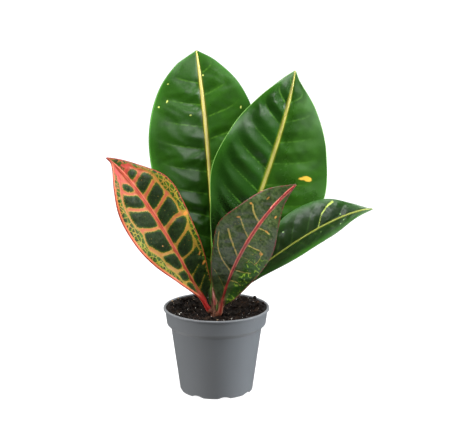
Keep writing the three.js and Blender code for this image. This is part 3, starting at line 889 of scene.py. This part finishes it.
def inner_wall(gap):
    """Corners of the pot's inside, or of a plug that stands a gap inside it, from the floor up to the rim."""
    shoulder_top = POT["height"] - POT["collar"]
    wall = POT["wall"] + gap
    climb = (POT["body_top"] - POT["base"]) / (shoulder_top - POT["shoulder"])
    return [
        (POT["base"] - wall + climb * POT["floor"], POT["floor"] + gap),
        (POT["body_top"] - wall, shoulder_top - POT["shoulder"] + POT["wall"]),
        (POT["collar_bottom"] - wall, shoulder_top + POT["wall"]),
        (POT["rim"] - POT["rim_width"] - gap, POT["height"]),
    ]


def pot_outline():
    """The pot's section, from the middle of its base up the outside and down the inside to its floor."""
    shoulder_top = POT["height"] - POT["collar"]
    lip_bottom = POT["height"] - POT["lip"]
    inner = [(radius, height, 0.6) for radius, height in inner_wall(0)]
    corners = [
        (0, 0, 0),
        (DRAIN["inner"] - 1.5, 0, 0),
        (DRAIN["inner"] + 1.5, 0, 0),
        (POT["base"], 0, 1.6),
        (POT["body_top"], shoulder_top - POT["shoulder"], 0.3),
        (POT["collar_bottom"], shoulder_top, 0.6),
        (POT["collar_top"], lip_bottom, 0.35),
        (POT["rim"], lip_bottom, 0.5),
        (POT["rim"], POT["height"], 0.9),
        *reversed(inner),
        (0, POT["floor"], 0),
    ]
    return divided(rounded(corners), 3)


def drain_directions():
    angles = np.radians(DRAIN["first_angle"] + np.arange(DRAIN["count"]) * 360 / DRAIN["count"])
    return np.stack([np.sin(angles), -np.cos(angles)], 1)


def press_channels(points):
    """Lifts the base into a round channel along each drain direction."""
    on_base = points[:, 2] < DRAIN["depth"] + 0.5
    for direction in drain_directions():
        along = points[:, :2] @ direction
        across = points[:, :2] @ np.array([-direction[1], direction[0]])
        arch = 1 - (2 * across / DRAIN["width"]) ** 2
        entry = step_up(DRAIN["inner"] - 1, DRAIN["inner"] + 1, along)
        ceiling = DRAIN["depth"] * np.clip(arch, 0, 1) * entry
        points[:, 2] = np.where(on_base & (along > 0), np.maximum(points[:, 2], ceiling), points[:, 2])
    return points


def cut_holes(piece):
    """Cuts the round drain holes through the pot's floor."""
    cutters = []
    for direction in drain_directions():
        x, y = direction * DRAIN["hole_circle"] * MM
        bpy.ops.mesh.primitive_cylinder_add(
            vertices=40, radius=DRAIN["hole"] * MM, depth=3 * POT["floor"] * MM,
            location=(x, y, POT["floor"] / 2 * MM),
        )
        cutters.append(bpy.context.object)
    for cutter in cutters:
        modifier = piece.modifiers.new("hole", "BOOLEAN")
        modifier.operation = "DIFFERENCE"
        modifier.solver = "EXACT"
        modifier.object = cutter
    cut = bpy.data.meshes.new_from_object(piece.evaluated_get(bpy.context.evaluated_depsgraph_get()))
    piece.modifiers.clear()
    piece.data = cut
    for cutter in cutters:
        bpy.data.objects.remove(cutter)


def pot_material():
    g = Graph("pot", Specular_IOR_Level=0.8)
    place = g.object_place()
    cloud = g.noise(place, 22.0, 3.0)
    grain = g.noise(place, 1600.0, 2.0)
    dust = g.rise(g.noise(place, 420.0, 3.0), 0.68, 0.76)
    height = g.part(place, "Z")
    at_ends = g.maths("MAXIMUM", g.rise(height, 0.012, 0.0), g.rise(height, 0.062, 0.072))
    colour = g.mix(cloud, srgb(78, 80, 82), srgb(84, 86, 88))
    dusty = g.times(dust, g.plus(0.1, g.times(at_ends, 0.4)))
    colour = g.mix(dusty, colour, srgb(134, 131, 126))
    g.set("Base Color", colour)
    g.set("Roughness", g.plus(0.33, g.times(cloud, 0.12)))
    g.set("Normal", g.bump(grain, 0.00003))
    return g.material


def build_pot():
    points, faces = turned(pot_outline(), POT_SIDES)
    pot = add_mesh("nursery_pot", press_channels(points), faces)
    cut_holes(pot)
    pot.data.shade_smooth()
    pot.data.set_sharp_from_angle(angle=math.radians(40))
    finish_piece(pot, pot_material(), "pot", "pot")


# Soil

SOIL_SIDES = 240
SOIL_RINGS = 90
CLEARANCE = 0.3
SKIN_NOISE = dict(scale=0.45, height=0.7)


def lumps(x, y):
    """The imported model's broad lumps."""
    waves = np.sin(0.31 * x + 1) * np.cos(0.27 * y) + 0.7 * np.sin(0.55 * y - 0.4 * x + 2)
    return 0.8 * waves + 0.5 * np.cos(0.9 * x + 0.6 * y)


def wall_radius(height):
    low, high = inner_wall(CLEARANCE)[2:]
    return blend(low[0], high[0], (height - low[1]) / (high[1] - low[1]))


def soil_height(x, y):
    """The height of the soil's broad form at a place, and the share of the way out to its edge."""
    edge = wall_radius(SOIL["level"])
    share = np.minimum(np.hypot(x, y) / edge, 1)
    behind = step_up(-1, 0, y / edge)
    heap = blend(SOIL["front_heap"], SOIL["heap"], behind)
    return SOIL["level"] + heap * step_up(SOIL["heap_start"], 1, share), share


def ball(detail):
    """Points and triangles of a round ball of radius 1."""
    made = bmesh.new()
    bmesh.ops.create_icosphere(made, subdivisions=detail, radius=1)
    made.verts.index_update()
    points = np.array([vertex.co[:] for vertex in made.verts])
    faces = np.array([[vertex.index for vertex in face.verts] for face in made.faces])
    made.free()
    return points, faces


def turned_about(points, angles):
    """Points turned by three angles about X, Y and Z."""
    return points @ np.array(Euler(angles).to_matrix()).T


def crumb(size, flatness, roughness, detail):
    """A lump of soil round the origin: a ball with uneven sides, squashed by flatness."""
    points, faces = ball(detail)
    shift = random.uniform(-50, 50, 3)
    rough = np.array([noise.fractal(Vector(point * 1.1 + shift), 0.6, 2.2, 3) for point in points])
    points = points * (1 + roughness * rough)[:, None] * np.array([1, random.uniform(0.6, 1), flatness])
    return turned_about(points, random.uniform(0, 2 * math.pi, 3)) * size, faces


def fibre(length, width):
    """A thin bent root or splinter round the origin."""
    steps, sides = 8, 5
    s = np.linspace(-1, 1, steps + 1)
    bend = random.uniform(-0.35, 0.35, 2)
    spine = np.stack([s * length / 2, bend[0] * length * s * s, bend[1] * length * s**3], 1)
    angles = round_angles(sides)
    thick = width * (1 - 0.7 * s**4)
    ring = np.stack([np.zeros(sides), np.cos(angles), np.sin(angles)], 1)
    points = spine[:, None] + thick[:, None, None] * ring
    quads, _ = ring_faces(steps + 1, sides)
    faces = quads.tolist() + [list(range(sides))[::-1], list(range(steps * sides, (steps + 1) * sides))]
    turn = (random.uniform(-0.5, 0.5), random.uniform(-0.5, 0.5), random.uniform(0, 2 * math.pi))
    return turned_about(points.reshape(-1, 3), turn), faces


class Heap:
    """Gathers many small pieces, each with a tone, into one mesh."""

    def __init__(self):
        self.points, self.faces, self.tones, self.count = [], [], [], 0

    def add(self, points, faces, tone):
        self.points.append(points)
        for face in np.asarray(faces, object).tolist():
            self.faces.append([index + self.count for index in face])
        self.tones.append(np.full(len(points), tone, float))
        self.count += len(points)

    def piece(self, name, sharp_angle):
        """One mesh object of all that was added, where each point bears its tone."""
        made = add_mesh(name, np.vstack(self.points), self.faces, sharp_angle=sharp_angle)
        set_attribute(made, "tone", np.concatenate(self.tones))
        return made


# Tones of the soil's pieces: from dark to light brown below 1, then pale fibre and perlite
SKIN_TONE, PALE, PERLITE = 0.25, 1.25, 2.0

# Loose pieces: how many, how far out they lie, and the share of that round area which stays free at the stem
GRAIN_PLACES = (1500, 39.2, 0.004)
FLAKE_PLACES = (70, 38, 0.01)
FIBRE_PLACES = (40, 37, 0.01)
SPECK_PLACES = (160, 39, 0.01)

# Single pieces seen in the photograph: (x, y, height above the soil, size, flatness, tone)
MARKED_CRUMBS = [
    (33, 27, 0.6, 1.9, 0.8, 0.1), (40, 10, 0.8, 1.2, 0.8, 0.3), (-14, -38.3, 5.6, 1.1, 0.6, 0.5),
    (1, -39.8, 5.6, 0.9, 0.5, PALE), (-38, 18, 0.3, 1.0, 0.6, PALE), (-31, -15, 0.4, 0.6, 0.7, PERLITE),
    (-23, -14, 0.4, 0.5, 0.7, PERLITE), (13, -13, 0.5, 0.6, 0.7, PERLITE), (26, -12, 0.4, 0.6, 0.7, PERLITE),
    (16, -26, 0.5, 0.8, 0.6, PALE), (-27, -27, 0.4, 0.8, 0.6, PALE), (-33, 26, 0.3, 0.8, 0.6, PALE),
]


def soil_skin():
    """Points and faces of the soil's plug, which is uneven at the top."""
    inner = inner_wall(CLEARANCE)
    outline = [(0, inner[0][1]), *inner[:3]]
    edge = wall_radius(SOIL["level"])
    top = [(edge * (1 - ring / SOIL_RINGS), SOIL["level"]) for ring in range(SOIL_RINGS + 1)]
    points, faces = turned(np.array(outline + top), SOIL_SIDES)
    is_top = points[:, 2] > SOIL["level"] - 0.01
    x, y = points[is_top, 0], points[is_top, 1]
    height, share = soil_height(x, y)
    widening = wall_radius(height) / edge
    spots = np.stack([x * SKIN_NOISE["scale"], y * SKIN_NOISE["scale"], np.zeros_like(x)], 1)
    fine = np.array([noise.fractal(Vector(spot), 0.7, 2.1, 5) for spot in spots])
    points[is_top, 2] = height + (1 - share**8) * (lumps(x, y) + SKIN_NOISE["height"] * fine)
    points[is_top, 0], points[is_top, 1] = x * widening, y * widening
    return points, faces


def scattered(count, reach, free):
    """Random places on the soil, each drawn when the loop comes to it."""
    for _ in range(count):
        radius = reach * math.sqrt(random.uniform(free, 1))
        angle = random.uniform(0, 2 * math.pi)
        yield radius * math.sin(angle), -radius * math.cos(angle)


def drop(heap, piece, x, y, lift, tone):
    """Lays a piece's points and faces on the soil's broad form, with its middle lifted above that."""
    points, faces = piece
    base, share = soil_height(x, y)
    level = base + (1 - share**8) * lumps(x, y)
    heap.add(points + [x, y, level + lift], faces, tone)


def build_soil():
    heap = Heap()
    heap.add(*soil_skin(), SKIN_TONE)
    for x, y in scattered(*GRAIN_PLACES):
        size = 0.45 + 1.1 * random.uniform(0, 1) ** 3
        grain = crumb(size, random.uniform(0.5, 0.9), 0.55, 2 if size > 0.8 else 1)
        drop(heap, grain, x, y, 0.25 * size, min(0.95, random.exponential(0.28)))
    for x, y in scattered(*FLAKE_PLACES):
        flake = crumb(random.uniform(1.4, 2.6), 0.28, 0.4, 2)
        drop(heap, flake, x, y, 0.5, random.uniform(0.1, 0.8))
    for x, y in scattered(*FIBRE_PLACES):
        root = fibre(random.uniform(3, 9), random.uniform(0.12, 0.25))
        drop(heap, root, x, y, 0.8, random.choice([0.3, 0.6, 0.9]))
    for x, y in scattered(*SPECK_PLACES):
        speck = crumb(random.uniform(0.18, 0.36), 0.8, 0.3, 1)
        drop(heap, speck, x, y, 0.7, random.choice([PALE, PALE, PERLITE]))
    for x, y, lift, size, flatness, tone in MARKED_CRUMBS:
        drop(heap, crumb(size, flatness, 0.4, 2), x, y, lift, tone)
    finish_piece(heap.piece("potting_soil", 50), soil_material(), "soil", "soil")


def soil_material():
    g = Graph("soil", Specular_IOR_Level=0.12)
    place = g.object_place()
    tone = g.measure("tone")
    patch = g.noise(place, 90.0, 4.0)
    grain = g.noise(place, 1300.0, 3.0)
    shade = g.plus(g.times(patch, 0.5), g.times(grain, 0.5))
    brown = g.mix(tone, srgb(17, 14, 12), srgb(50, 36, 27))
    colour = g.mix(g.rise(shade, 0.35, 0.65), srgb(7, 6, 5), brown)
    colour = g.mix(g.rise(tone, 1.05, 1.2), colour, srgb(138, 116, 92))
    colour = g.mix(g.rise(tone, 1.5, 1.8), colour, srgb(226, 222, 212))
    g.set("Base Color", colour)
    g.set("Roughness", g.plus(0.62, g.times(patch, 0.3)))
    g.set("Normal", g.bump(grain, 0.0003))
    return g.material


# Stem, with the scars of dropped leaves and a collar under each petiole

STEM_SIDES = 48
STEM_ROWS = 150
# Height, then angle from the front
SCARS = [(68, 20), (71.5, 200), (75.5, 80), (79, 300), (83, 140), (86, 350)]
AXIL_BUDS = [  # base, tip, radius
    ((-5.2, -0.6, 75), (-6.4, -0.8, 92), 1.35),
    ((0.6, -2.6, 70), (0.9, -3.6, 76.5), 0.9),
]
BARK, COLLAR, BUD = 0, 1, 2.0  # tones of the stem's pieces


def stem_skin():
    """The stem's points and faces, uneven like bark."""
    share = np.linspace(0, 1, STEM_ROWS + 1)
    bottom, top = STEM["bottom_radius"], STEM["top_radius"]
    widths = [0.8 * bottom, bottom, bottom, top, 0.8 * top, 0.3 * top]
    radii = np.interp(share, [0, 0.03, 0.6, 0.9, 0.97, 1], widths)
    heights = blend(STEM["bottom"], STEM["top"], share)
    outline = np.stack([radii, heights], 1)
    outline = np.vstack([[0, STEM["bottom"]], outline, [0, STEM["top"]]])
    points, faces = turned(outline, STEM_SIDES)
    angles = np.degrees(np.arctan2(points[:, 0], -points[:, 1]))
    swelling = np.zeros(len(points))
    for height, angle in SCARS:
        turn = (angles - angle + 180) % 360 - 180
        spread = np.hypot(turn / 42, (points[:, 2] - height) / 1.5)
        swelling += 0.4 * np.exp(-((spread - 0.8) ** 2) / 0.08) - 0.25 * np.exp(-((spread / 0.5) ** 2))
    spots = [(p[0] * 0.5, p[1] * 0.5, p[2] * 0.14) for p in points]
    bark = np.array([noise.fractal(Vector(spot), 0.8, 2.1, 4) for spot in spots])
    radius = np.hypot(points[:, 0], points[:, 1])
    scale = 1 + (swelling + 0.22 * bark) / np.maximum(radius, 1)
    points[:, :2] *= scale[:, None]
    return points + [STEM["x"], STEM["y"], 0], faces


def rod(spine, radii, sides):
    """Points and faces of a round rod along a spine of points."""
    spine = np.asarray(spine, float)
    along = unit(np.gradient(spine, axis=0))
    first = unit(np.cross(along, [0.3, -1, 0.2]))
    second = np.cross(along, first)
    angles = round_angles(sides)
    ring = np.cos(angles)[:, None] * first[:, None] + np.sin(angles)[:, None] * second[:, None]
    points = spine[:, None] + np.asarray(radii, float)[:, None, None] * ring
    quads, _ = ring_faces(len(spine), sides)
    last = (len(spine) - 1) * sides
    faces = quads.tolist() + [list(range(sides))[::-1], list(range(last, last + sides))]
    return points.reshape(-1, 3), faces


def collar_spine(leaf):
    """A short curve from inside the stem to a little way up a leaf's petiole."""
    start = np.array(leaf["rib"][0], float)
    direction = unit(bezier_slope(leaf["rib"], np.array(0.0)))
    inside = np.array([STEM["x"], STEM["y"], start[2] - 3.5])
    inside = blend(inside, start, 0.3)
    outside = start + direction * 1.6
    return bezier([inside, blend(inside, start, 0.6), start, outside], np.linspace(0, 1, 12))


def axil_bud(base, tip, radius):
    """Points and faces of a slender pointed bud."""
    share = np.linspace(0, 1, 24)
    spine = bezier([base, blend(base, tip, 0.4), blend(base, tip, 0.7), tip], share)
    return rod(spine, radius * np.interp(share, [0, 0.3, 0.6, 0.85, 1], [0.6, 1, 0.95, 0.5, 0.08]), 20)


def build_stem():
    heap = Heap()
    heap.add(*stem_skin(), BARK)
    for base, tip, radius in AXIL_BUDS:
        heap.add(*axil_bud(np.array(base, float), np.array(tip, float), radius), BUD)
    for leaf in LEAVES.values():
        spine = collar_spine(leaf)
        s = np.linspace(0, 1, len(spine))
        swelling = 1.05 + 0.22 * np.exp(-(((s - 0.55) / 0.2) ** 2))
        radii = BLADE["petiole_radius"] * swelling - 0.5 * step_up(0.85, 1, s)
        heap.add(*rod(spine, radii, 32), COLLAR)
    finish_piece(heap.piece("woody_stem", 70), stem_material(), "stem", "stem")


def stem_material():
    g = Graph("stem", Roughness=0.6, Specular_IOR_Level=0.4)
    place = g.object_place()
    tone = g.measure("tone")
    bark = g.noise(g.stretched(place, (1.0, 1.0, 0.25)), 900.0, 4.0)
    patch = g.noise(place, 160.0, 3.0)
    height = g.part(place, "Z")
    woody = g.mix(g.rise(bark, 0.35, 0.65), srgb(62, 36, 28), srgb(124, 84, 62))
    fresh = g.mix(patch, srgb(108, 52, 44), srgb(98, 92, 50))
    colour = g.mix(g.rise(height, 0.07, 0.082), woody, fresh)
    colour = g.mix(tone, colour, g.mix(patch, srgb(104, 40, 34), srgb(66, 60, 34)))
    colour = g.mix(g.rise(tone, 1.2, 1.8), colour, g.mix(patch, srgb(34, 56, 20), srgb(72, 96, 44)))
    g.set("Base Color", colour)
    g.set("Normal", g.bump(bark, 0.0002))
    return g.material


# Rolled young leaf at the front of the stem

ROLL_SIDES = 64
ROLL_ROWS = 90
ROLL_TURN = 3.2  # radians that the roll's free edge winds from the foot to the tip
ROLL_STEP = 0.22  # share of the radius


def build_young_leaf():
    sides = ROLL_SIDES
    share = np.linspace(0, 1, ROLL_ROWS + 1)
    base, tip = np.array(YOUNG_LEAF["base"], float), np.array(YOUNG_LEAF["tip"], float)
    spine = blend(base, tip, share[:, None])
    radii = YOUNG_LEAF["radius"] * np.interp(share, [0, 0.15, 0.45, 0.75, 1], [0.7, 0.95, 1, 0.6, 0.12])
    points, faces = rod(spine, radii, sides)
    # The free edge of the roll winds up the spike as a low step
    angles = round_angles(sides)
    winding = (angles[None, :] - ROLL_TURN * share[:, None]) % (2 * np.pi) / (2 * np.pi)
    step = 1 - ROLL_STEP * winding * step_up(0, 0.15, share)[:, None]
    centre = np.repeat(spine, sides, axis=0)
    points = centre + (points - centre) * step.reshape(-1, 1)
    piece = add_mesh("rolled_young_leaf", points, faces, sharp_angle=60)
    set_attribute(piece, "along", np.repeat(share, sides))
    set_attribute(piece, "winding", winding.ravel())
    finish_piece(piece, young_leaf_material(), "young_leaf", "young_leaf")


def young_leaf_material():
    g = Graph("young_leaf", Roughness=0.35, Specular_IOR_Level=0.5)
    place = g.object_place()
    along, winding = g.measure("along"), g.measure("winding")
    streak = g.noise(g.stretched(place, (1.0, 1.0, 0.2)), 1500.0, 3.0)
    colour = g.mix(g.rise(along, 0.1, 0.8), srgb(150, 66, 64), srgb(204, 140, 130))
    colour = g.mix(g.times(g.rise(winding, 0.85, 1.0), 0.7), colour, srgb(130, 40, 46))
    colour = g.mix(g.times(g.rise(streak, 0.45, 0.7), 0.4), colour, srgb(140, 70, 60))
    g.set("Base Color", colour)
    g.set("Normal", g.bump(streak, 0.00008))
    return g.material


build_pot()
build_soil()
build_stem()
build_young_leaf()


# Camera, as the photograph saw the plant

CAMERA_TARGET = (7.3, 0, 145)
CAMERA_DISTANCE = 1600
CAMERA_ELEVATION = 13.7
PIXEL_FOCAL = 1904  # focal length in pixels of the photograph
PHOTO_WIDTH = 450
SENSOR_WIDTH = 36

elevation = math.radians(CAMERA_ELEVATION)
camera_data = bpy.data.cameras.new("camera")
camera_data.sensor_width = SENSOR_WIDTH
camera_data.lens = PIXEL_FOCAL / PHOTO_WIDTH * SENSOR_WIDTH
camera = bpy.data.objects.new("camera", camera_data)
camera.location = (
    CAMERA_TARGET[0] * MM,
    (CAMERA_TARGET[1] - CAMERA_DISTANCE * math.cos(elevation)) * MM,
    (CAMERA_TARGET[2] + CAMERA_DISTANCE * math.sin(elevation)) * MM,
)
camera.rotation_euler = (math.pi / 2 - elevation, 0, 0)
bpy.context.scene.collection.objects.link(camera)
bpy.context.scene.camera = camera


# Floor and light

def add_light(name, place, aim, size, power, colour, mirrored=True):
    """A soft box at a place in metres, which faces another place. One that isn't mirrored only brightens."""
    data = bpy.data.lights.new(name, "AREA")
    data.shape = "RECTANGLE"
    data.size, data.size_y = size
    data.energy = power
    data.color = colour
    light = bpy.data.objects.new(name, data)
    light.location = place
    direction = np.subtract(aim, place)
    flat_length = math.hypot(direction[0], direction[1])
    light.rotation_euler = (
        math.atan2(flat_length, -direction[2]),
        0,
        math.atan2(direction[1], direction[0]) - math.pi / 2,
    )
    light.visible_glossy = mirrored
    bpy.context.scene.collection.objects.link(light)


FLOOR_HALF = 4000


def build_floor():
    corners = [(x * FLOOR_HALF, y * FLOOR_HALF, 0) for x, y in ((-1, -1), (1, -1), (1, 1), (-1, 1))]
    floor = add_mesh("floor", corners, [(0, 1, 2, 3)], smooth=False)
    # It glows like a light table, hardly brighter than white, so that the plant's edges stay soft against it
    g = Graph("floor", Roughness=0.9, Specular_IOR_Level=0.1, Emission_Strength=0.9)
    place = g.object_place()
    g.set("Base Color", g.mix(g.noise(place, 6.0), srgb(118, 118, 118), srgb(122, 122, 122)))
    floor.data.materials.append(g.material)
    floor.visible_glossy = False
    floor.visible_diffuse = False


def build_world():
    """Bright above and on all sides but behind the camera, as in a white studio with a dark doorway."""
    world = bpy.data.worlds.new("studio")
    bpy.context.scene.world = world
    world.use_nodes = True
    tree = world.node_tree
    background = tree.nodes["Background"]
    background.inputs["Color"].default_value = (1, 1, 1, 1)
    direction = tree.nodes.new("ShaderNodeTexCoord").outputs["Generated"]
    split = tree.nodes.new("ShaderNodeSeparateXYZ")
    tree.links.new(direction, split.inputs[0])

    def strength(axis, low, high, dark, bright):
        spread = tree.nodes.new("ShaderNodeMapRange")
        spread.interpolation_type = "SMOOTHSTEP"
        for socket, value in zip(("From Min", "From Max", "To Min", "To Max"), (low, high, dark, bright)):
            spread.inputs[socket].default_value = value
        tree.links.new(split.outputs[axis], spread.inputs["Value"])
        return spread.outputs["Result"]

    def joined(operation, first, second):
        made = tree.nodes.new("ShaderNodeMath")
        made.operation = operation
        tree.links.new(first, made.inputs[0])
        tree.links.new(second, made.inputs[1])
        return made.outputs[0]

    all_round = joined("MULTIPLY", strength("Y", -0.2, 0.4, 0.06, 0.95), strength("Z", -0.02, 0.02, 0.12, 1))
    total = joined("ADD", all_round, strength("Z", 0.75, 0.97, 0, 2.1))
    # Seen only by the plant, in place of the floor: bright near the plant and dark further off
    total = joined("ADD", total, strength("Z", -0.5, -0.75, 0, 0.8))
    tree.links.new(total, background.inputs["Strength"])


bpy.context.scene.view_settings.view_transform = "Standard"
build_floor()
build_world()
PLANT_MIDDLE = (0, 0, 0.16)
add_light("overhead", (-0.1, -0.5, 1.5), PLANT_MIDDLE, (0.6, 0.6), 12, (1, 1, 1))
add_light("front_right", (0.87, -1.03, 0.84), PLANT_MIDDLE, (1.0, 0.7), 8.5, (0.98, 0.99, 1))
add_light("right_front", (1.17, -0.82, 0.89), PLANT_MIDDLE, (0.4, 0.4), 5.5, (0.98, 0.99, 1))
add_light("front_left", (-1.1, -0.7, 0.85), PLANT_MIDDLE, (0.6, 0.6), 6, (0.97, 0.99, 1))
add_light("right_side", (1.3, -0.2, 0.35), PLANT_MIDDLE, (0.5, 1.1), 68, (0.9, 0.95, 1), mirrored=False)
add_light("left_side", (-1.3, -0.3, 0.35), PLANT_MIDDLE, (0.5, 1.1), 47, (1, 1, 1), mirrored=False)
